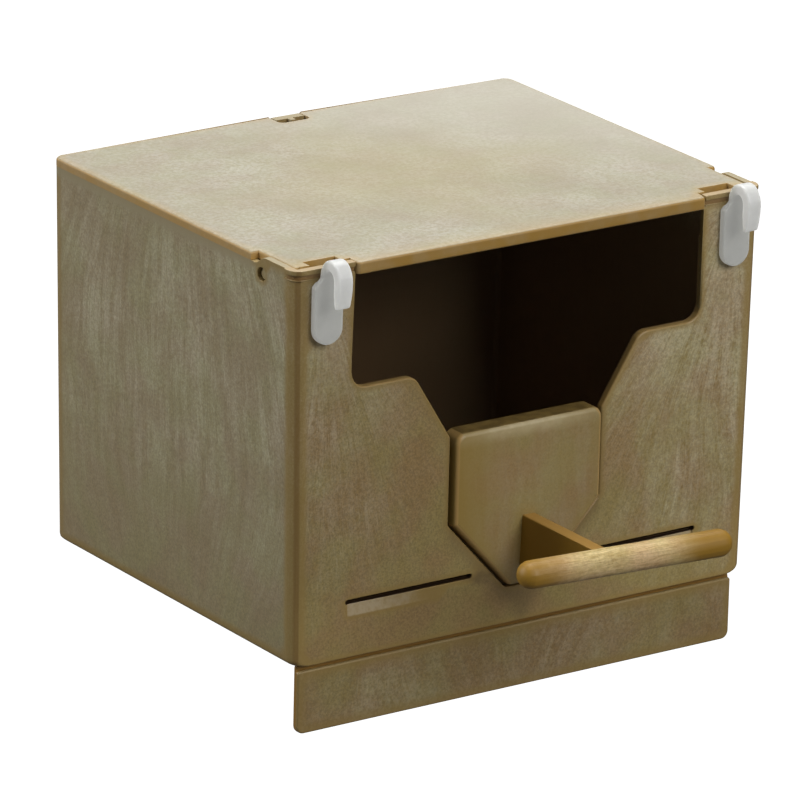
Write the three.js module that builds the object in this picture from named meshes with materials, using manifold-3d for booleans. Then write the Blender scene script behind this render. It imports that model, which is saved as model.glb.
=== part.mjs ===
// Hang-on nest box for a bird cage: moulded tub, front-hinged lid, lift-out entrance plate with a perch,
// two swivelling cage hooks and a skirt plate. Millimetres, +Z up, the open front faces -Y.
// The origin is on the hang line: the cage wire that runs through both hooks.
import * as THREE from 'three';
import { ConvexGeometry } from 'three/addons/geometries/ConvexGeometry.js';
import * as BufferGeometryUtils from 'three/addons/utils/BufferGeometryUtils.js';
import Module from 'manifold-3d';

const wasm = await Module();
wasm.setup();

// ---- Driving dimensions. Inside this file Y = 0 is the front wall's outer face; Z = 0 lies just above the
// underside. ----
const GAP = 0.3; // between pieces that touch
const WIDTH = 150; // over the side walls, at the top
const DEPTH = 118; // front face to rear face, at the top
const WALL_TOP = 106.45; // side and rear walls, under the lid
const LID_TOP = 108.85;
const LID_THICK = LID_TOP - WALL_TOP - 0.25;
const LIP_FRONT = -1.2; // front of the lip that hangs over the top of the opening
const LIP_R = 1.2;
const DRAFT_X = 1.66; // each side wall leans in by this much at the bottom
const DRAFT_Y = 0.85; // the rear wall leans in by this much at the bottom
const WALL = 2.0;
const FRONT_WALL = 2.5;
const UNDERSIDE = -0.9;
const FLOOR_TOP = 1.6;
const CORNER_R = 3.0;
const FOOT = { inwards: 3.2, up: 2.0 }; // oval rounding along the bottom of the side and rear walls
const HALF = WIDTH / 2;
const INSIDE = HALF - WALL;

const OPENING_HALF = 56.3; // wide upper part of the front opening
const NOTCH_HALF = 24.5; // narrow lower part, which holds the entrance plate
const SLANT = 1.095; // rise of the notch's two slanted lower sides for each mm across
const NOTCH_APEX = 3.24; // where those two sides would meet
const NOTCH_BLUNT = 9.2; // where they are cut off level instead
const SLOT = { outer: 56.9, inner: 16.5, z0: 13.95, z1: 15.25 };

const HINGE_Y = 15.6;
const HINGE_Z = 103.9;
const PIN_R = 1.5;
const PIN_HOLE_R = 1.85;

const PLATE_HALF = NOTCH_HALF - 0.9;
const PLATE_FRONT = -1.8;
const PLATE_REAR = 4.4;
const PLATE_TOP = 55.8;
const PLATE_APEX = 4.54; // where the plate's two slanted sides would meet
const PLATE_BLUNT = 10.1;
const FLANGE_OUT = 3.4; // how far the rear flange reaches past the plate's edge
const FLANGE_TOP = 53;

const PERCH_ARM = 4.2; // thickness of the arm
const PERCH_TOP = 29.7;
const PERCH_ROOT = 15.5; // lowest point of the arm, at the plate
const PERCH_TILT = 2.4; // degrees; the perch sits a little askew in its slot
const BAR_R = 3.8;
const BAR_HALF = 34.1;
const BAR_Y = -45.3;
const BAR_Z = 30.6;
const TONGUE = { half: 1.5, z0: 17.4, z1: 29 }; // the part of the arm inside the plate

const HOOK_X = 65.6;
const HOOK_Z = 92.6; // centre of the peg and of the plate's round end
const HOOK_PLATE_R = 4.4;
const HOOK_THICK = 2.2;
const HOOK_STRIP = 4.3; // width of the curled strip
const HOOK_GAP = 4.6; // room for the cage wire
const HOOK_UPPER_REAR = -0.8; // rear of the strip, clear of the beads on the ear
const PEG_R = 1.9;

const SKIRT_HALF = 70.7;
const SKIRT_TOP = -2.6;
const SKIRT_BOTTOM = -20.25;
const SKIRT_FRONT = 1.1;
const SKIRT_THICK = 2.3;
const GROOVE = 1.2; // depth of the groove between the box and the top of the skirt plate
const CLIP = { x: 50, y: 9, r: 2 }; // pegs that hold the skirt plate under the floor

// The wire lies in the middle of the hook's gap, against the top of its curl.
const CURL_Y = -(GAP + HOOK_THICK + HOOK_GAP / 2);
const CURL_Z = 106.9;
const HANG_LINE = new THREE.Vector3(0, CURL_Y, CURL_Z + HOOK_GAP / 2);

// ---- Solids ----

// A closed three.js geometry as a manifold-3d solid.
function toSolid(geometry) {
  let plain = geometry.clone();
  plain.deleteAttribute('normal');
  plain.deleteAttribute('uv');
  plain = BufferGeometryUtils.mergeVertices(plain, 1e-4);
  return new wasm.Manifold(new wasm.Mesh({
    numProp: 3,
    vertProperties: new Float32Array(plain.attributes.position.array),
    triVerts: new Uint32Array(plain.index.array),
  }));
}

// A manifold-3d solid as a three.js geometry.
function toGeometry(solid) {
  const mesh = solid.getMesh();
  const geometry = new THREE.BufferGeometry();
  geometry.setAttribute('position', new THREE.BufferAttribute(mesh.vertProperties, 3));
  geometry.setIndex(new THREE.BufferAttribute(mesh.triVerts, 1));
  geometry.computeVertexNormals();
  return geometry;
}

// A polygon whose corners are [x, y, radius]; a radius of 0 or none keeps the corner sharp.
function roundedShape(corners, steps = 5) {
  const points = [];
  corners.forEach(([x, y, radius = 0], i) => {
    const corner = new THREE.Vector2(x, y);
    if (radius === 0) {
      points.push(corner);
      return;
    }
    const before = corners[(i + corners.length - 1) % corners.length];
    const after = corners[(i + 1) % corners.length];
    const toBefore = new THREE.Vector2(before[0] - x, before[1] - y).normalize();
    const toAfter = new THREE.Vector2(after[0] - x, after[1] - y).normalize();
    const halfAngle = Math.acos(toBefore.dot(toAfter)) / 2;
    const bisector = toBefore.clone().add(toAfter).normalize();
    const centre = corner.clone().addScaledVector(bisector, radius / Math.sin(halfAngle));
    const reach = radius / Math.tan(halfAngle);
    const start = corner.clone().addScaledVector(toBefore, reach).sub(centre).angle();
    const end = corner.clone().addScaledVector(toAfter, reach).sub(centre).angle();
    let sweep = end - start;
    if (sweep > Math.PI) sweep -= 2 * Math.PI;
    if (sweep < -Math.PI) sweep += 2 * Math.PI;
    for (let k = 0; k <= steps; k += 1) {
      const angle = start + (sweep * k) / steps;
      points.push(new THREE.Vector2(Math.cos(angle), Math.sin(angle)).multiplyScalar(radius).add(centre));
    }
  });
  return new THREE.Shape(points);
}

// The same corners reflected in x = 0 and joined on. A corner that lies on x = 0 comes once.
function mirrored(half) {
  const reflected = half.filter(([x]) => x > 0).map(([x, y, radius]) => [-x, y, radius]);
  return [...half, ...reflected.reverse()];
}

function extrude(shape, depth) {
  return new THREE.ExtrudeGeometry(shape, { depth, bevelEnabled: false, curveSegments: 12 });
}

const AXIS_X = new THREE.Vector3(1, 0, 0);
const AXIS_Y = new THREE.Vector3(0, 1, 0);
const AXIS_Z = new THREE.Vector3(0, 0, 1);

// An outline in X and Z, from y = front to y = rear.
function alongY(shape, front, rear) {
  const geometry = extrude(shape, rear - front);
  geometry.applyMatrix4(new THREE.Matrix4().makeBasis(AXIS_X, AXIS_Z, AXIS_Y.clone().negate()));
  return toSolid(geometry.translate(0, rear, 0));
}

// An outline in Y and Z, from x = left to x = right.
function alongX(shape, left, right) {
  const geometry = extrude(shape, right - left);
  geometry.applyMatrix4(new THREE.Matrix4().makeBasis(AXIS_Y, AXIS_Z, AXIS_X));
  return toSolid(geometry.translate(left, 0, 0));
}

// An outline in X and Y, from z = bottom to z = top.
function alongZ(shape, bottom, top) {
  return toSolid(extrude(shape, top - bottom).translate(0, 0, bottom));
}

function box(x0, x1, y0, y1, z0, z1) {
  const geometry = new THREE.BoxGeometry(x1 - x0, y1 - y0, z1 - z0);
  return toSolid(geometry.translate((x0 + x1) / 2, (y0 + y1) / 2, (z0 + z1) / 2));
}

function cylinderX(radius, x0, x1, y, z, sides = 28) {
  const geometry = new THREE.CylinderGeometry(radius, radius, x1 - x0, sides).rotateZ(Math.PI / 2);
  return toSolid(geometry.translate((x0 + x1) / 2, y, z));
}

function cylinderY(radius, x, y0, y1, z, sides = 28) {
  const geometry = new THREE.CylinderGeometry(radius, radius, y1 - y0, sides);
  return toSolid(geometry.translate(x, (y0 + y1) / 2, z));
}

function cylinderZ(radius, x, y, z0, z1, sides = 24) {
  const geometry = new THREE.CylinderGeometry(radius, radius, z1 - z0, sides).rotateX(Math.PI / 2);
  return toSolid(geometry.translate(x, y, (z0 + z1) / 2));
}

function rectangle(x0, x1, y0, y1, radius, steps = 5) {
  return roundedShape([[x0, y0, radius], [x1, y0, radius], [x1, y1, radius], [x0, y1, radius]], steps);
}

// A closed solid through rings of points, lowest ring first. Every ring is convex, runs anticlockwise seen
// from above and has as many points as the others.
function loft(rings) {
  const count = rings[0].length;
  const index = [];
  for (let k = 0; k < rings.length - 1; k += 1) {
    for (let i = 0; i < count; i += 1) {
      const low = k * count + i;
      const lowNext = k * count + ((i + 1) % count);
      index.push(low, lowNext, lowNext + count, low, lowNext + count, low + count);
    }
  }
  const top = (rings.length - 1) * count;
  for (let i = 1; i < count - 1; i += 1) {
    index.push(0, i + 1, i, top, top + i, top + i + 1);
  }
  const geometry = new THREE.BufferGeometry().setFromPoints(rings.flat());
  geometry.setIndex(index);
  return toSolid(geometry);
}

// A rounded block whose sides and rear lean in towards the bottom, like the outside of the tub. The bottom
// edges of its sides and rear can be rounded by a foot.
function draftedBlock(half, front, rear, radius, bottom, top, foot = { inwards: 0, up: 0 }) {
  const steps = foot.up > 0 ? 6 : 0;
  const levels = [[0, top]];
  for (let k = 0; k <= steps; k += 1) {
    const angle = (Math.PI / 2) * (k / Math.max(steps, 1));
    levels.push([foot.inwards * (1 - Math.cos(angle)), bottom + foot.up * (1 - Math.sin(angle))]);
  }
  const rings = levels.reverse().map(([inset, z]) => {
    const lean = Math.max(0, 1 - z / WALL_TOP);
    const outline = rectangle(-half + inset, half - inset, front, rear - inset, radius).getPoints();
    return outline.map(({ x, y }) => new THREE.Vector3(
      x * (1 - (lean * DRAFT_X) / half),
      y - lean * DRAFT_Y * ((y - front) / (rear - front)),
      z,
    ));
  });
  return loft(rings);
}

// ---- Nest box body ----

function frontOpening() {
  return roundedShape(mirrored([
    [(NOTCH_BLUNT - NOTCH_APEX) / SLANT, NOTCH_BLUNT, 2.5],
    [NOTCH_HALF, NOTCH_APEX + NOTCH_HALF * SLANT, 1],
    [NOTCH_HALF, 54.8, 1.5],
    [36.4, 73.9, 4.5],
    [OPENING_HALF, 73.9, 4.5],
    [OPENING_HALF, LID_TOP + 5],
  ]));
}

// The seat of the lid: everything above the walls behind the two raised front ears, whose rears slope down
// to it in a soft curve.
function lidSeat() {
  const above = LID_TOP + 5;
  const profile = roundedShape([
    [18.2, WALL_TOP, 4],
    [DEPTH + 5, WALL_TOP],
    [DEPTH + 5, above],
    [8, above],
    [8, LID_TOP],
    [14.6, LID_TOP, 4],
  ]);
  return alongX(profile, -HALF - 5, HALF + 5);
}

// A rail behind the front wall that the entrance plate's rear flange slides in; side is -1 or 1.
function guideRail(side) {
  const inner = 25.4;
  const web = PLATE_HALF + FLANGE_OUT + 0.4;
  const outer = web + 2;
  const grip = PLATE_REAR + 0.4;
  const rear = grip + 1.8;
  const shape = new THREE.Shape([
    new THREE.Vector2(side * outer, FRONT_WALL - 0.2),
    new THREE.Vector2(side * outer, rear),
    new THREE.Vector2(side * inner, rear),
    new THREE.Vector2(side * inner, grip),
    new THREE.Vector2(side * web, grip),
    new THREE.Vector2(side * web, FRONT_WALL - 0.2),
  ]);
  return alongZ(shape, 30, 51);
}

function slot(side) {
  const ends = [side * SLOT.inner, side * SLOT.outer];
  return alongY(rectangle(Math.min(...ends), Math.max(...ends), SLOT.z0, SLOT.z1, 0.64, 4), -2, 5);
}

// The shallow ramp below a slot. It is deepest at the slot's outer end and runs out towards the middle.
function slotRamp(side) {
  const depth = 0.7;
  const outer = side * (SLOT.outer - 0.7);
  const inner = side * 27;
  const foot = 10.7;
  const top = SLOT.z0 + 0.3;
  const points = [new THREE.Vector3(outer, depth, top)];
  for (const x of [outer, inner]) {
    for (const z of [foot, top]) {
      points.push(new THREE.Vector3(x, 0, z), new THREE.Vector3(x, -0.5, z));
    }
  }
  return toSolid(new ConvexGeometry(points));
}

// A moulded line round the corners and front of the ears that stands out from the walls.
function bead(out, bottom, top) {
  const band = draftedBlock(HALF + out, -out, DEPTH, CORNER_R + out, bottom, top);
  return band.intersect(box(-HALF - 2, HALF + 2, -2, 4.5, bottom - 1, top + 1));
}

function nestBoxBody() {
  let body = draftedBlock(HALF, 0, DEPTH, CORNER_R, UNDERSIDE, LID_TOP, FOOT);
  body = body.add(bead(0.5, 107.4, LID_TOP)).add(bead(0.3, 105.8, 106.3));
  body = body.subtract(draftedBlock(INSIDE, FRONT_WALL, DEPTH - WALL, 1.5, FLOOR_TOP, LID_TOP + 5));
  body = body.subtract(box(-INSIDE, INSIDE, 1.9, FRONT_WALL + 2, 97, LID_TOP + 5));
  body = body.subtract(lidSeat());
  body = body.subtract(alongY(frontOpening(), -3, FRONT_WALL + 1));
  for (const side of [-1, 1]) {
    body = body.add(guideRail(side));
    body = body.subtract(slot(side)).subtract(slotRamp(side));
    body = body.subtract(cylinderY(PEG_R + 0.2, side * HOOK_X, -2, FRONT_WALL + 1, HOOK_Z));
    body = body.subtract(cylinderZ(CLIP.r + 0.2, side * CLIP.x, CLIP.y, UNDERSIDE - 1, FLOOR_TOP + 1));
  }
  body = body.subtract(cylinderX(PIN_HOLE_R, -HALF - 2, -INSIDE + 2, HINGE_Y, HINGE_Z));
  body = body.subtract(cylinderX(PIN_HOLE_R, INSIDE - 2, HALF + 2, HINGE_Y, HINGE_Z));
  return body.add(snapTab());
}

// The upright tab in the lid's thumb notch, on top of the rear wall, with a small nose at its middle.
function snapTab() {
  const top = LID_TOP - 0.1;
  const tab = new THREE.Shape([
    new THREE.Vector2(DEPTH - WALL + 0.1, WALL_TOP - 1.6),
    new THREE.Vector2(DEPTH - 0.1, WALL_TOP - 1.6),
    new THREE.Vector2(DEPTH - 0.1, top),
    new THREE.Vector2(DEPTH - 2.8, top),
    new THREE.Vector2(DEPTH - 2.8, WALL_TOP - 0.6),
  ]);
  const nose = new THREE.Shape([
    new THREE.Vector2(DEPTH - 2.7, WALL_TOP),
    new THREE.Vector2(DEPTH - 2.7, top),
    new THREE.Vector2(DEPTH - 4.6, top),
    new THREE.Vector2(DEPTH - 4.6, top - 0.8),
  ]);
  return alongX(tab, -4.6, 4.6).add(alongX(nose, -0.8, 0.8));
}

// ---- Lid ----

function lidOutline() {
  const tongue = OPENING_HALF - GAP;
  const tabFront = 2.95;
  const hookNotchFront = 6.3;
  const shoulder = 20.6;
  const earInside = INSIDE - 0.4;
  return roundedShape([
    [tongue, LIP_FRONT, LIP_R],
    [tongue, tabFront],
    [58.5, tabFront],
    [58.5, hookNotchFront],
    [68.3, hookNotchFront],
    [68.3, tabFront],
    [earInside, tabFront, 1],
    [earInside, shoulder],
    [HALF, shoulder],
    [HALF, DEPTH, CORNER_R],
    [4.9, DEPTH, 0.3],
    [4.9, DEPTH - 5.8, 1.5],
    [-4.9, DEPTH - 5.8, 1.5],
    [-4.9, DEPTH, 0.3],
    [-HALF, DEPTH, CORNER_R],
    [-HALF, shoulder],
    [-earInside, shoulder],
    [-earInside, tabFront, 1],
    [-68.3, tabFront],
    [-68.3, hookNotchFront],
    [-58.5, hookNotchFront],
    [-58.5, tabFront],
    [-tongue, tabFront],
    [-tongue, LIP_FRONT, LIP_R],
  ]);
}

function hingeLug(side) {
  const lugR = 3.3;
  const x0 = side > 0 ? 70.3 : -72.3;
  const neck = box(x0, x0 + 2, HINGE_Y - lugR, HINGE_Y + lugR, HINGE_Z, LID_TOP - 1);
  const lug = cylinderX(lugR, x0, x0 + 2, HINGE_Y, HINGE_Z, 24).add(neck);
  return lug.subtract(cylinderX(PIN_R + 0.1, x0 - 1, x0 + 3, HINGE_Y, HINGE_Z));
}

function lid() {
  const underside = LID_TOP - LID_THICK;
  const tongue = OPENING_HALF - GAP;
  let cover = alongZ(lidOutline(), underside, LID_TOP);
  const lip = mirrored([[tongue, LIP_FRONT, LIP_R], [tongue, 1]]);
  cover = cover.add(alongZ(roundedShape(lip), 105.3, underside + 0.5));
  const ribDepth = 2.3;
  const ribOutside = alongZ(rectangle(-72, 72, 24, 111.5, 1), underside - ribDepth, underside + 0.5);
  const ribInside = alongZ(rectangle(-70.5, 70.5, 25.5, 110, 1), underside - ribDepth - 1, underside + 1);
  cover = cover.add(ribOutside.subtract(ribInside));
  return cover.add(hingeLug(-1)).add(hingeLug(1));
}

function hingePin(side) {
  const outside = side * (HALF - 1);
  const inside = side * 69.6;
  return cylinderX(PIN_R, Math.min(outside, inside), Math.max(outside, inside), HINGE_Y, HINGE_Z);
}

// ---- Entrance plate and perch ----

// A shield with a blunt foot. Its slanted sides rise as steeply as those of the front opening.
function shield(half, apex, blunt, top, topRadius) {
  const footHalf = (blunt - apex) / SLANT;
  return roundedShape(mirrored([
    [footHalf, blunt, 2],
    [half, apex + half * SLANT, 1],
    [half, top, topRadius],
  ]));
}

function entrancePlate() {
  const flangeHalf = PLATE_HALF + FLANGE_OUT;
  const flangeApex = PLATE_APEX - FLANGE_OUT * 1.3;
  const flangeBlunt = PLATE_BLUNT - FLANGE_OUT;
  const front = shield(PLATE_HALF, PLATE_APEX, PLATE_BLUNT, PLATE_TOP, 3);
  const flange = shield(flangeHalf, flangeApex, flangeBlunt, FLANGE_TOP, 1);
  let plate = alongY(front, PLATE_FRONT, PLATE_REAR);
  plate = plate.add(alongY(flange, FRONT_WALL + GAP, PLATE_REAR));
  for (const [x0, x1, z0, z1] of rearPockets()) {
    plate = plate.subtract(box(x0, x1, PLATE_FRONT + 2.2, PLATE_REAR + 1, z0, z1));
  }
  return plate.subtract(perchSlot());
}

// The slot for the perch's tongue, askew like the perch.
function perchSlot() {
  const width = 2 * (TONGUE.half + GAP);
  const height = TONGUE.z1 - TONGUE.z0 + 2 * GAP;
  const geometry = new THREE.BoxGeometry(width, PLATE_REAR - PLATE_FRONT + 2, height);
  geometry.rotateY(THREE.MathUtils.degToRad(PERCH_TILT));
  return toSolid(geometry.translate(0, (PLATE_FRONT + PLATE_REAR) / 2, (TONGUE.z0 + TONGUE.z1) / 2));
}

// Pockets in the plate's rear, between ribs, that keep its wall about even: [x0, x1, z0, z1] each.
// The middle below them stays solid as a boss for the perch.
function rearPockets() {
  const rib = 1.4;
  const edge = PLATE_HALF - 2.2;
  const columns = [[-edge, -7 - rib], [-7, 7], [7 + rib, edge]];
  const rows = [[32.4, 42.2], [42.2 + rib, PLATE_TOP - 2.2]];
  const low = [24.5, 32.4 - rib];
  const sides = [[-15.5, -7 - rib], [7 + rib, 15.5]];
  return [
    ...rows.flatMap((z) => columns.map((x) => [...x, ...z])),
    ...sides.map((x) => [...x, ...low]),
  ];
}

function perch() {
  const shoulder = PLATE_FRONT - GAP;
  const arm = alongX(
    new THREE.Shape([
      new THREE.Vector2(shoulder, PERCH_ROOT),
      new THREE.Vector2(shoulder, PERCH_TOP),
      new THREE.Vector2(BAR_Y, PERCH_TOP),
      new THREE.Vector2(BAR_Y, BAR_Z - BAR_R + 0.6),
    ].reverse()),
    -PERCH_ARM / 2,
    PERCH_ARM / 2,
  );
  const tongue = box(-TONGUE.half, TONGUE.half, shoulder - 1, PLATE_REAR - 0.6, TONGUE.z0, TONGUE.z1);
  return arm.add(tongue).add(roundBar());
}

// The cross bar: a cylinder with half-sphere ends, turned about its own axis.
function roundBar() {
  const steps = 6;
  const straight = BAR_HALF - BAR_R;
  const profile = [];
  for (let k = 0; k <= steps; k += 1) {
    const angle = (Math.PI / 2) * (k / steps);
    profile.push(new THREE.Vector2(BAR_R * Math.sin(angle), -straight - BAR_R * Math.cos(angle)));
  }
  const rest = profile.map((point) => new THREE.Vector2(point.x, -point.y)).reverse();
  profile[0].x = 0;
  rest[rest.length - 1].x = 0;
  const geometry = new THREE.LatheGeometry([...profile, ...rest], 24);
  return toSolid(geometry.rotateZ(-Math.PI / 2).translate(0, BAR_Y, BAR_Z));
}

// ---- Hooks ----

// Side view of the strip: up from the plate, over in a curl, and down in front of the wire gap.
function curlShape() {
  const rear = HOOK_UPPER_REAR;
  const top = 112.2;
  const reach = -10.1;
  const front = -(GAP + HOOK_THICK);
  const inner = front - HOOK_GAP;
  const steps = 12;
  const outline = [new THREE.Vector2(front, 102), new THREE.Vector2(rear, 102)];
  const middle = (rear + reach) / 2;
  for (let k = 0; k <= steps; k += 1) {
    const angle = (Math.PI * k) / steps;
    const y = middle + ((rear - reach) / 2) * Math.cos(angle);
    outline.push(new THREE.Vector2(y, CURL_Z + (top - CURL_Z) * Math.sin(angle)));
  }
  const tipZ = 99.6;
  const leg = new THREE.CubicBezierCurve(
    new THREE.Vector2(reach, CURL_Z),
    new THREE.Vector2(reach, CURL_Z - 3),
    new THREE.Vector2(inner - 2.3, tipZ + 2.4),
    new THREE.Vector2(inner - 2.0, tipZ + 0.8),
  );
  outline.push(...leg.getPoints(6).slice(1));
  outline.push(new THREE.Vector2(inner - 1.6, tipZ + 0.1));
  outline.push(new THREE.Vector2(inner - 0.9, tipZ));
  outline.push(new THREE.Vector2(inner - 0.4, tipZ + 0.5));
  outline.push(new THREE.Vector2(inner, tipZ + 4));
  for (let k = 0; k <= steps; k += 1) {
    const angle = Math.PI - (Math.PI * k) / steps;
    const y = CURL_Y + (HOOK_GAP / 2) * Math.cos(angle);
    outline.push(new THREE.Vector2(y, CURL_Z + (HOOK_GAP / 2) * Math.sin(angle)));
  }
  return new THREE.Shape(outline);
}

function hook(side) {
  const x = side * HOOK_X;
  const strip = HOOK_STRIP / 2;
  const shoulder = 104.2;
  const neck = shoulder + HOOK_PLATE_R - strip;
  const outline = new THREE.Shape();
  outline.moveTo(x + HOOK_PLATE_R, shoulder);
  outline.lineTo(x + strip, neck);
  outline.lineTo(x + strip, neck + 1);
  outline.lineTo(x - strip, neck + 1);
  outline.lineTo(x - strip, neck);
  outline.lineTo(x - HOOK_PLATE_R, shoulder);
  outline.absarc(x, HOOK_Z, HOOK_PLATE_R, Math.PI, 2 * Math.PI, false);
  const relief = box(x - 6, x + 6, HOOK_UPPER_REAR, 1, 105.3, 112);
  const plate = alongY(outline, -GAP - HOOK_THICK, -GAP).subtract(relief);
  const curl = alongX(curlShape(), x - strip, x + strip);
  const peg = cylinderY(PEG_R, x, -GAP - 1, FRONT_WALL + GAP + 0.5, HOOK_Z);
  const head = cylinderY(PEG_R + 0.9, x, FRONT_WALL + GAP, FRONT_WALL + GAP + 1.4, HOOK_Z);
  return plate.add(curl).add(peg).add(head);
}

// ---- Skirt plate ----

// A snap peg that stands up through the floor, with a wider tapered head above it.
function clip(x) {
  const headBottom = FLOOR_TOP + GAP;
  const head = new THREE.CylinderGeometry(CLIP.r - 0.4, CLIP.r + 0.8, 1.6, 24);
  head.rotateX(Math.PI / 2).translate(x, CLIP.y, headBottom + 0.8);
  return cylinderZ(CLIP.r, x, CLIP.y, UNDERSIDE - 1, headBottom + 0.3).add(toSolid(head));
}

function skirtPlate() {
  const rear = SKIRT_FRONT + SKIRT_THICK;
  const flangeTop = UNDERSIDE - GAP;
  const outline = roundedShape(mirrored([[SKIRT_HALF, SKIRT_BOTTOM, 2.2], [SKIRT_HALF, SKIRT_TOP, 0.8]]));
  let skirt = alongY(outline, SKIRT_FRONT, rear);
  skirt = skirt.add(box(-SKIRT_HALF, SKIRT_HALF, SKIRT_FRONT + GROOVE, rear, SKIRT_TOP - 3, flangeTop));
  skirt = skirt.add(box(-67, 67, SKIRT_FRONT + GROOVE, 14, flangeTop - 1.8, flangeTop));
  return skirt.add(clip(-CLIP.x)).add(clip(CLIP.x));
}

// ---- The assembly ----

function plastic(color, roughness) {
  return new THREE.MeshStandardMaterial({ color, roughness, metalness: 0 });
}

function part(name, solid, material) {
  const mesh = new THREE.Mesh(toGeometry(solid), material);
  mesh.name = name;
  return mesh;
}

// The perch turns about its tongue by the small tilt.
function tilted(mesh) {
  const middle = (TONGUE.z0 + TONGUE.z1) / 2;
  mesh.geometry.translate(0, 0, -middle);
  mesh.position.z = middle;
  mesh.rotation.y = THREE.MathUtils.degToRad(PERCH_TILT);
  return mesh;
}

const pieces = new THREE.Group();
pieces.position.copy(HANG_LINE).negate();
pieces.add(part('nest_box_body', nestBoxBody(), plastic(0x8a7a58, 0.55)));
pieces.add(part('lid', lid(), plastic(0xb8ad8c, 0.5)));
pieces.add(part('entrance_plate', entrancePlate(), plastic(0x8f7442, 0.45)));
pieces.add(tilted(part('perch', perch(), plastic(0xa98548, 0.45))));
pieces.add(part('skirt_plate', skirtPlate(), plastic(0x7d6b42, 0.5)));
for (const [side, word] of [[-1, 'left'], [1, 'right']]) {
  pieces.add(part(`hinge_pin_${word}`, hingePin(side), plastic(0x8c7a58, 0.5)));
  pieces.add(part(`hook_${word}`, hook(side), plastic(0xd2d2cc, 0.4)));
}

const nestBox = new THREE.Group();
nestBox.add(pieces);

export default nestBox;
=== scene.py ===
"""Looks of a hang-on nest box in streaky wood-look plastic, with two white nylon cage hooks."""
import math
from types import SimpleNamespace

import bmesh
import bpy
import numpy as np
from mathutils import Matrix, Vector, kdtree


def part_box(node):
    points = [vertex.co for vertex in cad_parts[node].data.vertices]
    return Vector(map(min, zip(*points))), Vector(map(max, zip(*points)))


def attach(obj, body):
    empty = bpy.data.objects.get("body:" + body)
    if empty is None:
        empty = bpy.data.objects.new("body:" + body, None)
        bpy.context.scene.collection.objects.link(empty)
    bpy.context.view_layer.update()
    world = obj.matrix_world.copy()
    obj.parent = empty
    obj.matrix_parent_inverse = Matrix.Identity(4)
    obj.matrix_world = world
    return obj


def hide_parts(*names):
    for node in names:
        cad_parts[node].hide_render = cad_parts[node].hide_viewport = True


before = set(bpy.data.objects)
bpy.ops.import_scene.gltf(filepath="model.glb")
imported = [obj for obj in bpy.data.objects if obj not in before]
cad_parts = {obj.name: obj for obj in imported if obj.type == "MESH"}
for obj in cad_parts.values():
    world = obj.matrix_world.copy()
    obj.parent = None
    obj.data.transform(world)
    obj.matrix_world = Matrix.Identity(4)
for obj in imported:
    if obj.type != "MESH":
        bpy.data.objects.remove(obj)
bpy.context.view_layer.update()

MM = 0.001
FRONT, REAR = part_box("nest_box_body")[0].y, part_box("nest_box_body")[1].y
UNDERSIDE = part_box("nest_box_body")[0].z
HALF_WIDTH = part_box("lid")[1].x
NOTCH_APEX = UNDERSIDE / MM + 4.14  # where the two slanted sides of the front opening would meet
WALL_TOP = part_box("lid")[1].z / MM - 2.4  # of the side and rear walls, in millimetres like the two below
SLOT = (UNDERSIDE / MM + 14.8, UNDERSIDE / MM + 16.2)  # height of the two slots in the front
RAMP = (UNDERSIDE / MM + 11.6, UNDERSIDE / MM + 15.0)  # height of the ramps below them


# ---- Meshes ----

def cad_copy(node):
    """The CAD node's mesh as a bmesh with whole flat faces instead of triangles."""
    bm = bmesh.new()
    bm.from_mesh(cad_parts[node].data)
    bmesh.ops.remove_doubles(bm, verts=bm.verts, dist=2e-6)
    bmesh.ops.dissolve_limit(bm, angle_limit=math.radians(0.3), verts=bm.verts, edges=bm.edges)
    bm.normal_update()
    return bm


def convex_edges(bm, angle):
    """The edges that stick out, with at least this angle in degrees between their two faces."""
    low = math.radians(angle)
    return [e for e in bm.edges if len(e.link_faces) == 2 and e.calc_face_angle_signed() > low]


def edge_points(bm, angle, spacing=0.4 * MM):
    """Points along the convex edges, which the distance to the nearest edge is measured from."""
    points = []
    for e in convex_edges(bm, angle):
        a, b = (v.co for v in e.verts)
        steps = max(1, math.ceil((b - a).length / spacing))
        points += [a.lerp(b, k / steps) for k in range(steps + 1)]
    return points


def round_edges(bm, radius, chosen, angle=30, segments=3):
    """Rounds the convex edges whose middle passes the test."""
    edges = [e for e in convex_edges(bm, angle) if chosen((e.verts[0].co + e.verts[1].co) / 2)]
    bmesh.ops.bevel(
        bm, geom=edges, offset=radius, offset_type="OFFSET", segments=segments, profile=0.5,
        affect="EDGES", clamp_overlap=False, miter_outer="SHARP",
    )
    bm.normal_update()


def slice_up(bm, step):
    """Cuts the mesh along a grid of planes, so that its big flat faces carry values at many points."""
    co = np.array([v.co for v in bm.verts])
    low, high = co.min(0), co.max(0)
    for axis in range(3):
        normal = Vector([float(k == axis) for k in range(3)])
        count = int((high[axis] - low[axis]) / step)
        for k in range(1, count + 1):
            at = normal * float(low[axis] + (high[axis] - low[axis]) * k / (count + 1))
            everything = bm.verts[:] + bm.edges[:] + bm.faces[:]
            bmesh.ops.bisect_plane(bm, geom=everything, dist=1e-7, plane_co=at, plane_no=normal)


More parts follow.
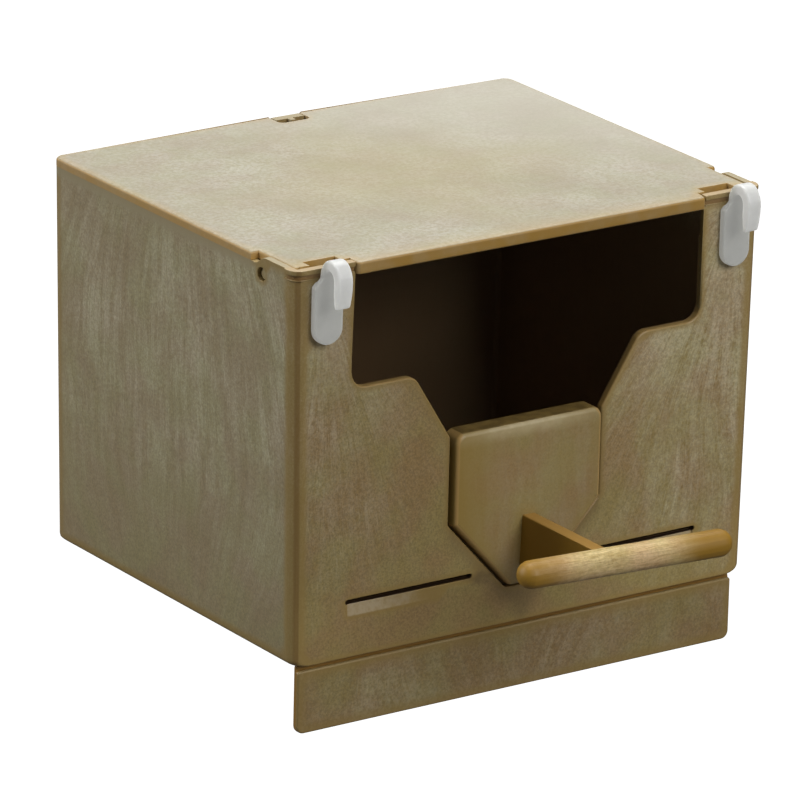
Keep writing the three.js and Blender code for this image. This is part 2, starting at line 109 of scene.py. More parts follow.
def finished(bm, name, edges, body, node, material, sharp=33):
    """Makes the object: smooth shading with crisp corners, and the distance to the nearest edge at each vertex."""
    bm.normal_update()
    for face in bm.faces:
        face.smooth = True
    for e in bm.edges:
        e.smooth = len(e.link_faces) != 2 or e.calc_face_angle(0) < math.radians(sharp)
    mesh = bpy.data.meshes.new(name)
    bm.to_mesh(mesh)
    bm.free()
    tree = kdtree.KDTree(len(edges))
    for i, point in enumerate(edges):
        tree.insert(point, i)
    tree.balance()
    distance = mesh.attributes.new("edge", "FLOAT", "POINT")
    distance.data.foreach_set("value", [tree.find(v.co)[2] for v in mesh.vertices])
    mesh.materials.append(material)
    obj = bpy.data.objects.new(name, mesh)
    bpy.context.scene.collection.objects.link(obj)
    obj.modifiers.new("even_shading", "WEIGHTED_NORMAL").keep_sharp = True
    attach(obj, body)
    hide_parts(node)
    return obj


def remeshed(node, voxel, rounds):
    """The CAD node with its corners worn round and its inner corners filled, as a moulding has them."""
    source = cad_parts[node]
    obj = bpy.data.objects.new("work", source.data.copy())
    bpy.context.scene.collection.objects.link(obj)
    weld = obj.modifiers.new("weld", "WELD")
    weld.merge_threshold = 2e-6
    remesh = obj.modifiers.new("remesh", "REMESH")
    remesh.mode = "VOXEL"
    remesh.voxel_size = voxel
    smooth = obj.modifiers.new("smooth", "SMOOTH")
    smooth.factor = 0.5
    smooth.iterations = rounds
    evaluated = obj.evaluated_get(bpy.context.evaluated_depsgraph_get())
    bm = bmesh.new()
    bm.from_mesh(evaluated.to_mesh())
    evaluated.to_mesh_clear()
    bpy.data.objects.remove(obj)
    return bm


# ---- Materials ----

class Shader:
    """A material under construction. Each call adds a node and returns its output."""

    def __init__(self, name):
        self.material = bpy.data.materials.new(name)
        self.material.use_nodes = True
        self.tree = self.material.node_tree
        self.surface = self.tree.nodes["Principled BSDF"]

    def add(self, kind, inputs, output=0, **settings):
        node = self.tree.nodes.new(kind)
        for key, value in settings.items():
            setattr(node, key, value)
        for key, value in inputs.items():
            self.put(node.inputs[key], value)
        return node.outputs[output]

    def put(self, socket, value):
        if isinstance(value, bpy.types.NodeSocket):
            self.tree.links.new(value, socket)
        else:
            socket.default_value = value

    def math(self, operation, a, b=0.0, clamp=False):
        return self.add("ShaderNodeMath", {0: a, 1: b}, operation=operation, use_clamp=clamp)

    def vector(self, x, y, z=0.0):
        return self.add("ShaderNodeCombineXYZ", {0: x, 1: y, 2: z})

    def noise(self, vector, scale, detail=2.0, roughness=0.5, output="Fac"):
        inputs = {"Vector": vector, "Scale": scale, "Detail": detail, "Roughness": roughness}
        return self.add("ShaderNodeTexNoise", inputs, output=output)

    def step(self, value, low, high, to=(0.0, 1.0)):
        inputs = {"Value": value, "From Min": low, "From Max": high, "To Min": to[0], "To Max": to[1]}
        return self.add("ShaderNodeMapRange", inputs, interpolation_type="SMOOTHSTEP")

    def mix(self, factor, a, b):
        node = self.tree.nodes.new("ShaderNodeMix")
        node.data_type = "RGBA"
        self.put(node.inputs["Factor"], factor)
        self.put(node.inputs["A"], a)
        self.put(node.inputs["B"], b)
        return node.outputs["Result"]

    def choose(self, factor, a, b):
        """a where factor is 0, b where it is 1, for vectors."""
        return self.add("ShaderNodeMix", {"Factor": factor, 4: a, 5: b}, output=1, data_type="VECTOR")


def rgb(red, green, blue):
    return (red, green, blue, 1.0)


def place_in_mm(sh):
    """Where the surface point is, in millimetres, and which way it faces."""
    coordinates = sh.tree.nodes.new("ShaderNodeTexCoord")
    scaled = sh.add("ShaderNodeVectorMath", {0: coordinates.outputs["Object"], "Scale": 1 / MM}, operation="SCALE")
    split = sh.tree.nodes.new("ShaderNodeSeparateXYZ")
    sh.put(split.inputs[0], scaled)
    facing = sh.tree.nodes.new("ShaderNodeSeparateXYZ")
    sh.put(facing.inputs[0], coordinates.outputs["Normal"])
    return scaled, split.outputs, facing.outputs


def drift(sh, place, size, amount):
    """A slow wander of this many millimetres, over patches of this size."""
    noise = sh.noise(place, 1 / size, detail=1.0)
    return sh.math("MULTIPLY", sh.math("SUBTRACT", noise, 0.5), 2 * amount)


def fan_from_neck(sh, place, x, z):
    """Flow round the front opening: lines spread downwards from the narrow column beside it."""
    neck_x, neck_z = 66.0, -4.0
    aside = sh.math("SUBTRACT", neck_x, sh.math("ABSOLUTE", x))
    below = sh.math("SUBTRACT", neck_z, z)
    angle = sh.math("ARCTAN2", aside, below)
    reach = sh.math("SQRT", sh.math("ADD", sh.math("MULTIPLY", aside, aside), sh.math("MULTIPLY", below, below)))
    across = sh.math("ADD", sh.math("MULTIPLY", angle, 70.0), drift(sh, place, 45.0, 6.0))
    return sh.vector(across, reach)


def barrel(sh, place, along_wall, z):
    """Flow on a side wall: upright lines that close in towards the top and the bottom."""
    middle_y, middle_z, half_height = 0.5 * (FRONT + REAR) / MM, 0.5 * UNDERSIDE / MM, 0.5 * abs(UNDERSIDE) / MM
    from_middle = sh.math("DIVIDE", sh.math("SUBTRACT", z, middle_z), half_height)
    squeeze = sh.math("SUBTRACT", 1.0, sh.math("MULTIPLY", sh.math("MULTIPLY", from_middle, from_middle), 0.3))
    across = sh.math("DIVIDE", sh.math("SUBTRACT", along_wall, middle_y), squeeze)
    return sh.vector(sh.math("ADD", across, drift(sh, place, 40.0, 4.0)), z)


def sheet_flow(sh, place, x, y):
    """Flow on the lid: long lines with a strong wander."""
    return sh.vector(sh.math("ADD", y, drift(sh, place, 60.0, 10.0)), sh.math("ADD", x, drift(sh, place, 50.0, 8.0)))


def upright(sh, place, x, y, z):
    """Flow straight up and down, with a slight wander."""
    return sh.vector(sh.math("ADD", x, drift(sh, place, 30.0, 3.0)), z)


def along_bar(sh, place, x, y, z):
    """Flow on the perch: long lines along the cross bar."""
    return sh.vector(sh.math("ADD", sh.math("ADD", y, z), drift(sh, place, 12.0, 1.5)), x)


def fibres(sh, flow, width, length, low, high):
    """Fine light hairs along the flow, of about this width and length in millimetres."""
    stretched = sh.add("ShaderNodeVectorMath", {0: flow, 1: (1 / width, 1 / length, 1.0)}, operation="MULTIPLY")
    return sh.step(sh.noise(stretched, 1.0, detail=2.0, roughness=0.55), low, high)


def wood_plastic(name, front, side, top, ochre, reach=(0.2, 2.2, 0.9), flow=None, more_grey=None, details=None,
                 hair_weight=1.0, streak_weight=1.0, contrast=0.22, roughness=0.45):
    """Filled plastic that imitates wood: hairs along the flow over a plain ground, and ochre along every edge.

    front, side and top are the colours of the ground and of the hairs on faces that look that way. reach says
    how far from an edge, in millimetres, the ochre is full and where it ends, and how strong it is."""
    sh = Shader(name)
    place, (x, y, z), (facing_x, _, facing_z) = place_in_mm(sh)
    on_side = sh.step(sh.math("ABSOLUTE", facing_x), 0.6, 0.75)
    on_top = sh.step(sh.math("ABSOLUTE", facing_z), 0.6, 0.75)
    if flow:
        lines = flow(sh, place, x, y, z)
    else:
        middle_y = 0.5 * (FRONT + REAR) / MM
        on_rear = sh.step(y, middle_y, middle_y + 1.0)
        lines = sh.choose(on_rear, fan_from_neck(sh, place, x, z), upright(sh, place, x, y, z))
        lines = sh.choose(on_side, lines, barrel(sh, place, y, z))
        lines = sh.choose(on_top, lines, sheet_flow(sh, place, x, y))
    # Each face takes the colour pair for the way it looks, so the painted sheen and painted highlight of the face
    # colours follow the faces.
    ground, hair = (
        sh.mix(on_top, sh.mix(on_side, rgb(*front[k]), rgb(*side[k])), rgb(*top[k])) for k in range(2)
    )
    cloud = sh.noise(place, 1 / 24.0, detail=3.0, roughness=0.6)
    mottle = sh.step(sh.noise(place, 0.9, detail=3.0, roughness=0.65), 0.35, 0.65)
    short = fibres(sh, lines, 0.45, 2.6, 0.36, 0.66)
    long = fibres(sh, lines, 0.5, 15.0, 0.48, 0.72)
    broad = fibres(sh, lines, 3.2, 28.0, 0.34, 0.66)
    amount = sh.math("MULTIPLY", mottle, 0.65 - 0.35 * streak_weight)
    for hairs, weight in ((short, 0.25 * hair_weight), (long, 0.35 * hair_weight), (broad, 0.35 * streak_weight)):
        amount = sh.math("ADD", amount, sh.math("MULTIPLY", hairs, weight))
    amount = sh.math("MULTIPLY", amount, sh.step(cloud, 0.3, 0.7, (0.55, 1.45)))
    if more_grey:
        amount = sh.math("MULTIPLY", amount, more_grey(sh, x, y, z))
    colour = sh.mix(sh.math("MULTIPLY", amount, 1.0, clamp=True), ground, hair)
    speckle = sh.noise(place, 1.6, detail=3.0, roughness=0.75)
    value = sh.step(speckle, 0.25, 0.75, (1.0 - contrast, 1.0 + contrast))
    hue = sh.step(sh.noise(place, 1 / 14.0, detail=2.0), 0.35, 0.65, (0.489, 0.510))
    colour = sh.add("ShaderNodeHueSaturation", {"Color": colour, "Hue": hue, "Value": value})
    edge = sh.add("ShaderNodeAttribute", {}, output="Fac", attribute_name="edge")
    uneven = sh.math("ADD", sh.math("MULTIPLY", edge, 1 / MM), drift(sh, place, 5.0, 0.4))
    near = sh.step(uneven, reach[0], reach[1], (reach[2], 0.0))
    near = sh.math("MULTIPLY", near, sh.step(speckle, 0.2, 0.8, (1.0, 0.75)))
    colour = sh.mix(near, colour, rgb(*ochre))
    if details:
        at = SimpleNamespace(place=place, x=x, y=y, z=z, across=sh.math("ABSOLUTE", x), on_top=on_top,
                             facing_x=facing_x, facing_z=facing_z)
        colour = details(sh, colour, at)
    sh.put(sh.surface.inputs["Base Color"], colour)
    sh.put(sh.surface.inputs["Roughness"], sh.step(cloud, 0.2, 0.8, (roughness - 0.04, roughness + 0.05)))
    grain_bump = sh.add("ShaderNodeBump", {"Height": speckle, "Strength": 0.15, "Distance": 0.05 * MM})
    sh.put(sh.surface.inputs["Normal"], grain_bump)
    return sh.material


def all_of(sh, *masks):
    """The product of several masks."""
    product = masks[0]
    for mask in masks[1:]:
        product = sh.math("MULTIPLY", product, mask)
    return product


def body_grey(sh, x, y, z):
    """The tub is greyest high up and beside the opening, browner towards the bottom, and lighter towards the right as
    painted light.
    """
    high = sh.step(z, UNDERSIDE / MM, 0.4 * UNDERSIDE / MM, (0.25, 1.0))
    outwards = sh.step(sh.math("ABSOLUTE", x), sh.step(x, -10.0, 20.0, (32.0, 18.0)), 64.0, (0.25, 1.0))
    # Painted light: more pale hairs towards the right make the tub lighter there.
    rightwards = sh.step(x, -10.0, 30.0, (0.9, 1.7))
    on_right_wall = sh.step(x, HALF_WIDTH / MM - 3.0, HALF_WIDTH / MM - 1.5, (1.0, 0.6))
    return all_of(sh, high, outwards, rightwards, on_right_wall)


def between(sh, value, low, high, soft):
    """1 between two limits and 0 outside them, with soft ends."""
    rise = sh.step(value, low - soft, low)
    return sh.math("MULTIPLY", rise, sh.step(value, high, high + soft, (1.0, 0.0)))


def body_marks(sh, colour, at):
    """What sets parts of the tub apart: brown edges and ochre ledges, with painted light and shade on the front, under
    the lid rim, beside the opening, down the front corners, on and under the ear tops, on the ramps below the slots, in
    the slots and inside.
    """
    front, rear, half = FRONT / MM, REAR / MM, HALF_WIDTH / MM
    on_front = sh.step(at.y, front + 1.2, front + 1.6, (1.0, 0.0))
    # Painted light: the front face is painted brighter towards the right and near the bottom.
    rightwards = sh.step(at.x, -50.0, 30.0, (0.96, 1.10))
    low_down = sh.step(at.z, UNDERSIDE / MM + 8.0, UNDERSIDE / MM + 26.0, (1.16, 1.0))
    value = sh.mix(on_front, rgb(1.0, 1.0, 1.0), sh.math("MULTIPLY", rightwards, low_down))
    colour = sh.add("ShaderNodeHueSaturation", {"Color": colour, "Value": value})
    colour = sh.mix(sh.step(at.y, rear - 14.0, rear - 1.0, (0.0, 0.4)), colour, rgb(0.30, 0.225, 0.115))
    # Partly painted light: the side walls just under the lid rim are painted pale, which hides the ochre edge colour
    # there and lightens the rim's shade.
    under_lid = all_of(
        sh, sh.step(sh.math("ABSOLUTE", at.facing_x), 0.6, 0.8), sh.step(at.z, WALL_TOP - 3.5, WALL_TOP - 1.5),
        sh.step(at.y, front + 18.0, front + 22.0),
    )
    colour = sh.mix(sh.math("MULTIPLY", under_lid, 0.8), colour, rgb(0.33, 0.28, 0.17))
    # Painted shade: the front wall is painted darker close beside the entrance plate's slanted sides.
    below_notch = sh.math("SUBTRACT", sh.math("MULTIPLY", at.across, 1.095), sh.math("SUBTRACT", at.z, NOTCH_APEX))
    beside_notch = all_of(
        sh, on_front, sh.step(below_notch, 0.0, 8.0, (0.55, 0.0)), sh.step(at.across, 23.0, 27.0, (1.0, 0.0)),
    )
    colour = sh.mix(beside_notch, colour, rgb(0.17, 0.115, 0.050))
    # Painted shade: a dark line down each front corner, stronger on the left than on the right.
    lean = sh.math("MULTIPLY", at.z, 1.66 / 107)
    from_side = sh.math("ADD", sh.math("SUBTRACT", half, at.across), lean)
    line = all_of(sh, between(sh, from_side, 1.0, 1.7, 0.5), sh.step(at.y, front + 4.0, front + 5.0, (1.0, 0.0)))
    strength = sh.step(at.x, -10.0, 10.0, (0.5, 0.2))
    colour = sh.mix(sh.math("MULTIPLY", line, strength), colour, rgb(0.18, 0.095, 0.025))
    ledge = all_of(
        sh, sh.step(at.facing_z, 0.15, 0.45), sh.step(at.y, front + 0.4, front + 0.7),
        sh.step(at.y, front + 3.0, front + 3.4, (1.0, 0.0)), sh.step(at.z, WALL_TOP - 10.0, WALL_TOP - 8.0, (1.0, 0.0)),
    )
    colour = sh.mix(sh.math("MULTIPLY", ledge, 0.85), colour, rgb(0.34, 0.215, 0.070))
    # Painted highlight: the upward faces of the ears are painted pale.
    ear_top = sh.math("MULTIPLY", sh.step(at.facing_z, 0.5, 0.8), sh.step(at.z, WALL_TOP + 1.4, WALL_TOP + 1.8))
    ear_colour = sh.mix(sh.step(at.y, front + 3.0, front + 7.0), rgb(0.43, 0.32, 0.18), rgb(0.36, 0.31, 0.20))
    colour = sh.mix(sh.math("MULTIPLY", ear_top, 0.85), colour, ear_colour)
    # Painted shade: a dark line under the ears' moulded top edge.
    under_bead = all_of(
        sh, between(sh, at.z, WALL_TOP - 0.1, WALL_TOP + 1.0, 0.2), sh.step(at.y, front + 3.5, front + 5.0, (1.0, 0.0)),
    )
    colour = sh.mix(sh.math("MULTIPLY", under_bead, 0.7), colour, rgb(0.20, 0.100, 0.028))
    # Painted highlight: the upward-facing ramps below the slots are painted pale.
    ramp = all_of(
        sh, on_front, between(sh, at.z, RAMP[0] + 0.3, RAMP[1], 0.7), sh.step(at.across, 55.6, 56.6, (1.0, 0.0)),
        sh.step(sh.math("ADD", at.across, drift(sh, at.place, 5.0, 14.0)), 28.0, 50.0, (0.0, 0.6)),
        sh.step(sh.noise(at.place, 0.8, detail=3.0), 0.3, 0.6, (0.6, 1.0)),
    )
    colour = sh.mix(ramp, colour, rgb(0.46, 0.38, 0.26))
    # A small dark brown patch on the front beside the inner end of the left slot.
    from_dark_patch = sh.math("ABSOLUTE", sh.math("ADD", at.x, 14.5))
    from_dark_patch = sh.math("ADD", from_dark_patch, sh.math("MULTIPLY", sh.math("ABSOLUTE", sh.math("SUBTRACT", at.z, SLOT[0])), 2.0))
    from_dark_patch = sh.math("ADD", from_dark_patch, drift(sh, at.place, 2.0, 4.0))
    dark_patch = sh.math("MULTIPLY", on_front, sh.step(from_dark_patch, 1.0, 7.0, (0.65, 0.0)))
    colour = sh.mix(dark_patch, colour, rgb(0.15, 0.095, 0.040))
    # Painted shade: the inside of the two slots is painted near black.
    slot = all_of(
        sh, between(sh, at.z, SLOT[0], SLOT[1], 0.1), between(sh, at.across, 16.0, 57.2, 0.1),
        between(sh, at.y, front + 0.95, front + 3.0, 0.2),
    )
    colour = sh.mix(slot, colour, rgb(0.03, 0.015, 0.006))
    # Painted shade: the inside of the tub is painted dark brown, darkest towards the left.
    inside = all_of(
        sh, sh.step(at.across, half - 2.4, half - 2.2, (1.0, 0.0)), sh.step(at.y, front + 2.2, front + 2.6),
        sh.step(at.y, rear - 1.6, rear - 1.2, (1.0, 0.0)),
        between(sh, at.z, UNDERSIDE / MM + 1.4, WALL_TOP - 0.4, 0.3),
    )
    inside_shade_colour = sh.mix(sh.step(at.x, 20.0, 66.0), rgb(0.155, 0.088, 0.038), rgb(0.31, 0.20, 0.10))
    return sh.mix(sh.math("MULTIPLY", inside, 0.92), colour, inside_shade_colour)


def ochre_rim(sh, colour, at):
    """The lid's upright faces are ochre, with a few pale patches; the lid is also painted paler and greyer towards the
    rear right as painted light.
    """
    middle_y = 0.5 * (FRONT + REAR) / MM
    off_centre = sh.math("ADD", at.across, sh.math("ABSOLUTE", sh.math("SUBTRACT", at.y, middle_y)))
    off_centre = sh.math("ADD", off_centre, drift(sh, at.place, 35.0, 30.0))
    colour = sh.mix(sh.step(off_centre, 10.0, 75.0, (0.35, 0.0)), colour, rgb(0.36, 0.30, 0.15))
    # Painted light: the lid is painted paler and greyer towards the rear right.
    rear_right = sh.step(sh.math("ADD", at.x, at.y), 60.0, 170.0, (0.0, 0.55))
    colour = sh.mix(rear_right, colour, rgb(0.47, 0.445, 0.375))
    colour = sh.mix(sh.step(at.facing_z, -0.8, -0.4, (0.6, 0.0)), colour, rgb(0.27, 0.205, 0.10))
    front = FRONT / MM
    by_ear = all_of(
        sh, sh.step(at.across, 52.0, 62.0, (0.15, 0.45)), sh.step(at.y, front + 1.0, front + 9.0, (1.0, 0.0)),
    )
    colour = sh.mix(by_ear, colour, rgb(0.48, 0.32, 0.12))
    patches = sh.step(sh.noise(at.place, 1 / 6.0), 0.35, 0.75, (1.0, 0.75))
    paler = sh.step(sh.math("ABSOLUTE", at.facing_x), 0.4, 0.6, (1.0, 0.75))
    rim = all_of(sh, sh.math("SUBTRACT", 1.0, at.on_top), patches, paler)
    ochre = sh.mix(sh.step(at.across, 52.0, 62.0), rgb(0.36, 0.205, 0.040), rgb(0.43, 0.25, 0.060))
    return sh.mix(rim, colour, ochre)


def plate_marks(sh, colour, at):
    """The entrance plate is more ochre towards the left, has a painted highlight along its top edge, a top face in
    painted shade, and rounded side edges painted a bright ochre, partly their own colour and partly painted light.
    """
    leftwards = sh.step(at.x, -24.0, -4.0, (0.8, 0.0))
    colour = sh.mix(leftwards, colour, rgb(0.29, 0.19, 0.045))
    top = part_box("entrance_plate")[1].z / MM
    # Painted highlight: a broad pale band along the plate's top edge, fading towards both ends.
    painted_highlight = all_of(
        sh, sh.step(at.z, top - 5.0, top - 1.0), sh.step(at.across, 4.0, 22.0, (0.75, 0.2)),
        sh.step(sh.noise(at.place, 0.3, detail=3.0), 0.3, 0.7, (0.7, 1.1)),
    )
    colour = sh.mix(painted_highlight, colour, rgb(0.56, 0.47, 0.28))
    # Painted shade: the plate's top face is painted dark, with ochre streaks of its own.
    streaks = sh.step(sh.noise(at.place, 0.35, detail=3.0), 0.35, 0.65)
    shaded_top_colour = sh.mix(streaks, rgb(0.155, 0.100, 0.030), rgb(0.250, 0.165, 0.050))
    colour = sh.mix(sh.step(at.facing_z, 0.85, 0.97), colour, shaded_top_colour)
    # Partly painted light: the rounded side edges are ochre of their own, painted brighter than the light there makes
    # them.
    rounded = between(sh, sh.math("ABSOLUTE", at.facing_x), 0.4, 0.7, 0.3)
    return sh.mix(sh.math("MULTIPLY", rounded, 0.75), colour, rgb(0.46, 0.285, 0.095))


def skirt_marks(sh, colour, at):
    """The groove above the skirt plate is a deep ochre."""
    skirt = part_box("skirt_plate")
    groove = sh.step(at.y, skirt[0].y / MM + 0.7, skirt[0].y / MM + 0.9)
    return sh.mix(groove, colour, rgb(0.30, 0.16, 0.03))


def ochre_ends(sh, colour, at):
    """The perch is ochre on its arm and at both ends of its bar, and the arm's top face is painted lighter as painted
    light.
    """
    bar_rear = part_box("perch")[0].y / MM + 7.6
    on_arm = sh.step(at.y, bar_rear - 0.5, bar_rear + 2.0)
    uneven = sh.math("ADD", at.across, drift(sh, at.place, 6.0, 5.0))
    uneven = sh.math("ADD", uneven, sh.step(at.x, -5.0, 20.0, (0.0, 5.0)))
    at_end = sh.step(uneven, 13.0, 31.0)
    colour = sh.mix(sh.math("MAXIMUM", on_arm, at_end), colour, rgb(0.30, 0.160, 0.012))
    # Painted light: the arm's top face is a lighter copy of the arm's ochre.
    lit_arm_top = sh.math("MULTIPLY", on_arm, sh.step(at.facing_z, 0.4, 0.7))
    return sh.mix(lit_arm_top, colour, rgb(0.40, 0.22, 0.045))


def nylon(name):
    """Natural white nylon with light under its surface, a painted glow that stands in for light passing through it, and
    painted shade where it lies against the wall.
    """
    sh = Shader(name)
    place, (_, y, _), _ = place_in_mm(sh)
    cloud = sh.noise(place, 0.25, detail=2.0)
    wall = FRONT / MM
    # Painted shade: the nylon is painted darker where it lies against the wall.
    free = sh.step(y, wall - 5.0, wall - 1.8, (1.0, 0.0))
    colour = sh.mix(free, rgb(0.20, 0.20, 0.185), rgb(0.36, 0.36, 0.35))
    colour = sh.add("ShaderNodeHueSaturation", {"Color": colour, "Value": sh.step(cloud, 0.2, 0.8, (0.92, 1.08))})
    sh.put(sh.surface.inputs["Base Color"], colour)
    # Painted glow: the emission stands in for light passing through the nylon, dimmer where it lies against the wall.
    sh.put(sh.surface.inputs["Emission Color"], sh.mix(free, rgb(0.78, 0.78, 0.74), rgb(1.0, 1.0, 0.97)))
    sh.surface.inputs["Emission Strength"].default_value = 0.29
    sh.surface.inputs["Subsurface Weight"].default_value = 1.0
    sh.surface.inputs["Subsurface Radius"].default_value = (1.0, 1.0, 0.9)
    sh.surface.inputs["Subsurface Scale"].default_value = 4.0 * MM
    sh.surface.inputs["Roughness"].default_value = 0.38
    bump = sh.add("ShaderNodeBump", {"Height": sh.noise(place, 0.8), "Strength": 0.1, "Distance": 0.1 * MM})
    sh.put(sh.surface.inputs["Normal"], bump)
    return sh.material


# ---- Pieces ----

OCHRE = (0.285, 0.190, 0.055)
# Ground and hair colours for faces that look to the front, to the side and up, and for the lid. All are one plastic:
# the side faces' greyer colour and the lid's paler, greyer colour are painted sheen, and the upward faces' paler colour
# is a painted highlight from the light above.
FRONT_FACE = ((0.262, 0.184, 0.066), (0.430, 0.360, 0.220))
SIDE_FACE = ((0.266, 0.214, 0.108), (0.440, 0.395, 0.265))
TOP_FACE = ((0.320, 0.250, 0.135), (0.420, 0.370, 0.250))
LID_FACE = ((0.310, 0.275, 0.187), (0.400, 0.375, 0.300))


def build_body():
    bm = cad_copy("nest_box_body")
    edges = edge_points(bm, 8)
    front = FRONT + 1.0 * MM
    lid_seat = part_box("lid")[1].z - 3.5 * MM
    round_edges(bm, 0.6 * MM, lambda p: p.y < front and -0.090 < p.z < lid_seat and abs(p.x) < 0.060, segments=3)
    round_edges(bm, 0.3 * MM, lambda p: p.y < front + 20 * MM or p.z < -5 * MM, segments=2)
    slice_up(bm, 4 * MM)
    material = wood_plastic(
        "body_plastic", FRONT_FACE, SIDE_FACE, TOP_FACE, OCHRE, more_grey=body_grey, details=body_marks,
    )
    finished(bm, "tub", edges, "box", "nest_box_body", material)


def build_lid():
    bm = cad_copy("lid")
    edges = edge_points(bm, 30)
    low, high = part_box("lid")
    rim_bottom = high.z - 2.15 * MM
    for vert in bm.verts:
        on_rim = abs(vert.co.x) > high.x - 4 * MM or vert.co.y > high.y - 4 * MM
        if on_rim and abs(vert.co.z - rim_bottom) < 0.05 * MM:
            vert.co.z -= 0.23 * MM

    def on_outside(p):
        on_side = abs(p.x) > high.x - 3.2 * MM
        on_rear = p.y > high.y - 0.2 * MM and abs(p.x) > 5.5 * MM
        return p.z > high.z - 0.1 * MM and (on_side or on_rear or p.y < low.y + 1.3 * MM)

    round_edges(bm, 0.9 * MM, on_outside, segments=4)
    round_edges(bm, 0.5 * MM, lambda p: p.y < low.y + 1.3 * MM, segments=3)
    round_edges(bm, 0.3 * MM, lambda p: p.z > rim_bottom + 0.1 * MM, segments=2)
    slice_up(bm, 4 * MM)
    material = wood_plastic(
        "lid_plastic", LID_FACE, LID_FACE, LID_FACE, (0.42, 0.28, 0.10), reach=(0.0, 3.0, 0.38), details=ochre_rim,
        hair_weight=0.4, streak_weight=0.2, contrast=0.11,
    )
    finished(bm, "cover", edges, "lid", "lid", material)


def build_skirt():
    bm = cad_copy("skirt_plate")
    edges = edge_points(bm, 30)
    round_edges(bm, 0.55 * MM, lambda p: True, segments=3)
    slice_up(bm, 4 * MM)
    ground, hair = (0.245, 0.168, 0.060), (0.345, 0.275, 0.150)
    material = wood_plastic("skirt_plastic", (ground, hair), (ground, hair), TOP_FACE, OCHRE, reach=(0.6, 4.0, 0.8),
                            details=skirt_marks, hair_weight=0.5)
    finished(bm, "skirt", edges, "box", "skirt_plate", material)


def build_entrance():
    bm = cad_copy("entrance_plate")
    edges = edge_points(bm, 30)
    low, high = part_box("entrance_plate")

    def on_rim(p):
        by_slot = abs(p.x) < 4 * MM and low.z + 5 * MM < p.z < high.z - 5 * MM
        return p.y < low.y + 0.01 * MM and not by_slot

    round_edges(bm, 1.3 * MM, on_rim, segments=6)
    slice_up(bm, 3 * MM)
    face = ((0.300, 0.210, 0.080), (0.350, 0.275, 0.140))
    material = wood_plastic(
        "entrance_plastic", face, face, face, (0.300, 0.205, 0.060), reach=(0.5, 5.0, 0.6), flow=upright,
        details=plate_marks, hair_weight=0.3, contrast=0.12, roughness=0.4,
    )
    finished(bm, "doorway_plate", edges, "entrance", "entrance_plate", material)


def build_perch():
    bm = cad_copy("perch")
    edges = edge_points(bm, 30)
    plate_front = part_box("entrance_plate")[0].y
    bar_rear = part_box("perch")[0].y + 7.6 * MM
    for vert in bm.verts:
        if abs(vert.co.y - plate_front + 0.3 * MM) < 0.02 * MM:
            vert.co.y += 0.27 * MM
    round_edges(bm, 0.45 * MM, lambda p: bar_rear < p.y < plate_front - 1 * MM, segments=3)
    slice_up(bm, 1.5 * MM)
    face = ((0.370, 0.235, 0.072), (0.640, 0.475, 0.230))
    material = wood_plastic(
        "perch_plastic", face, face, face, OCHRE, flow=along_bar, details=ochre_ends,
        hair_weight=1.5, contrast=0.10, roughness=0.5,
    )
    finished(bm, "perch_bar", edges, "entrance", "perch", material)


def build_hook(side, material):
    node = "hook_" + side
    edges = edge_points(cad_copy(node), 30)
    bm = remeshed(node, 0.22 * MM, 16)
    finished(bm, "nylon_hook_" + side, edges, node, node, material)


def build_pin(side, material):
    node = "hinge_pin_" + side
    bm = cad_copy(node)
    edges = edge_points(bm, 30)
    round_edges(bm, 0.25 * MM, lambda p: True, angle=60, segments=3)
    finished(bm, "pivot_" + side, edges, "lid", node, material)


# ---- Studio ----

def build_camera():
    target = Vector((0.0030, 0.0682, -0.0674))
    azimuth, elevation, roll = (math.radians(a) for a in (34.81, 18.90, 1.39))
    distance = 2.081
    back = Vector((
        -math.sin(azimuth) * math.cos(elevation), -math.cos(azimuth) * math.cos(elevation), math.sin(elevation),
    ))
    data = bpy.data.cameras.new("camera")
    data.lens = 344.33
    data.clip_end = 50
    camera = bpy.data.objects.new("camera", data)
    bpy.context.scene.collection.objects.link(camera)
    right = Vector((math.cos(azimuth), -math.sin(azimuth), 0))
    up = back.cross(right)
    turned = right * math.cos(roll) + up * math.sin(roll)
    pose = Matrix((turned, back.cross(turned), back)).transposed().to_4x4()
    pose.translation = target + back * distance
    camera.matrix_world = pose
    bpy.context.scene.camera = camera


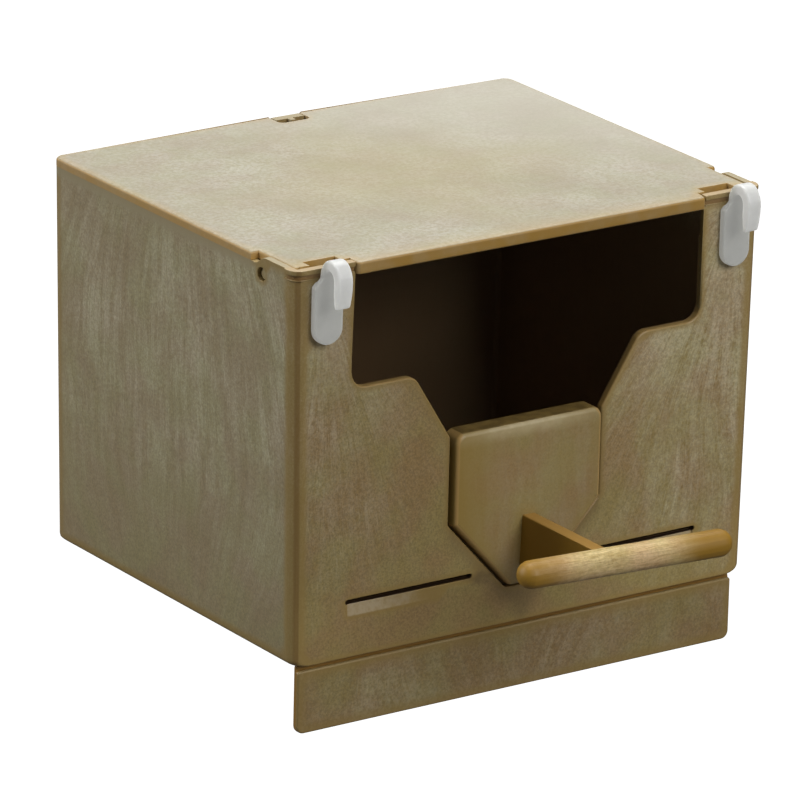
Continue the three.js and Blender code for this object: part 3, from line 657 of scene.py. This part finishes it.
def softbox(name, where, size, power):
    data = bpy.data.lights.new(name, "AREA")
    data.shape = "SQUARE"
    data.size = size
    data.energy = power
    lamp = bpy.data.objects.new(name, data)
    bpy.context.scene.collection.objects.link(lamp)
    lamp.matrix_world = Vector(where).to_track_quat("Z", "Y").to_matrix().to_4x4()
    lamp.matrix_world.translation = Vector(where)
    return lamp


def pale_surface(name, bm, material):
    """A surface behind or below the object that only the camera sees."""
    mesh = bpy.data.meshes.new(name)
    bm.to_mesh(mesh)
    bm.free()
    mesh.materials.append(material)
    obj = bpy.data.objects.new(name, mesh)
    bpy.context.scene.collection.objects.link(obj)
    obj.visible_diffuse = False
    obj.visible_glossy = False
    obj.visible_shadow = False
    return obj


def build_studio():
    pale = Shader("pale")
    pale.surface.inputs["Base Color"].default_value = rgb(0.9, 0.9, 0.9)
    pale.surface.inputs["Roughness"].default_value = 0.9
    pale.surface.inputs["Emission Color"].default_value = rgb(1, 1, 1)
    pale.surface.inputs["Emission Strength"].default_value = 1.0
    bm = bmesh.new()
    bmesh.ops.create_grid(bm, x_segments=8, y_segments=8, size=5.5)
    pale_surface("floor", bm, pale.material).location.z = -2.0
    bm = bmesh.new()
    bmesh.ops.create_uvsphere(bm, u_segments=48, v_segments=24, radius=6.0)
    pale_surface("backdrop", bm, pale.material)

    softbox("top_light", (0.25, 0.5, 1.25), 1.2, 24)
    softbox("left_light", (-1.35, 0.75, 0.75), 0.9, 16)
    softbox("front_light", (0.35, -1.5, 0.95), 1.0, 20.5)

    world = bpy.data.worlds.new("studio")
    world.use_nodes = True
    world.node_tree.nodes["Background"].inputs["Color"].default_value = rgb(1, 1, 1)
    world.node_tree.nodes["Background"].inputs["Strength"].default_value = 0.12
    bpy.context.scene.world = world
    bpy.context.scene.view_settings.view_transform = "Standard"


build_camera()
build_body()
build_lid()
build_skirt()
build_entrance()
build_perch()
hook_material = nylon("hook_nylon")
pin_material = wood_plastic("pin_plastic", FRONT_FACE, TOP_FACE, TOP_FACE, OCHRE, reach=(0.0, 0.5, 0.8))
for side in ("left", "right"):
    build_hook(side, hook_material)
    build_pin(side, pin_material)
build_studio()
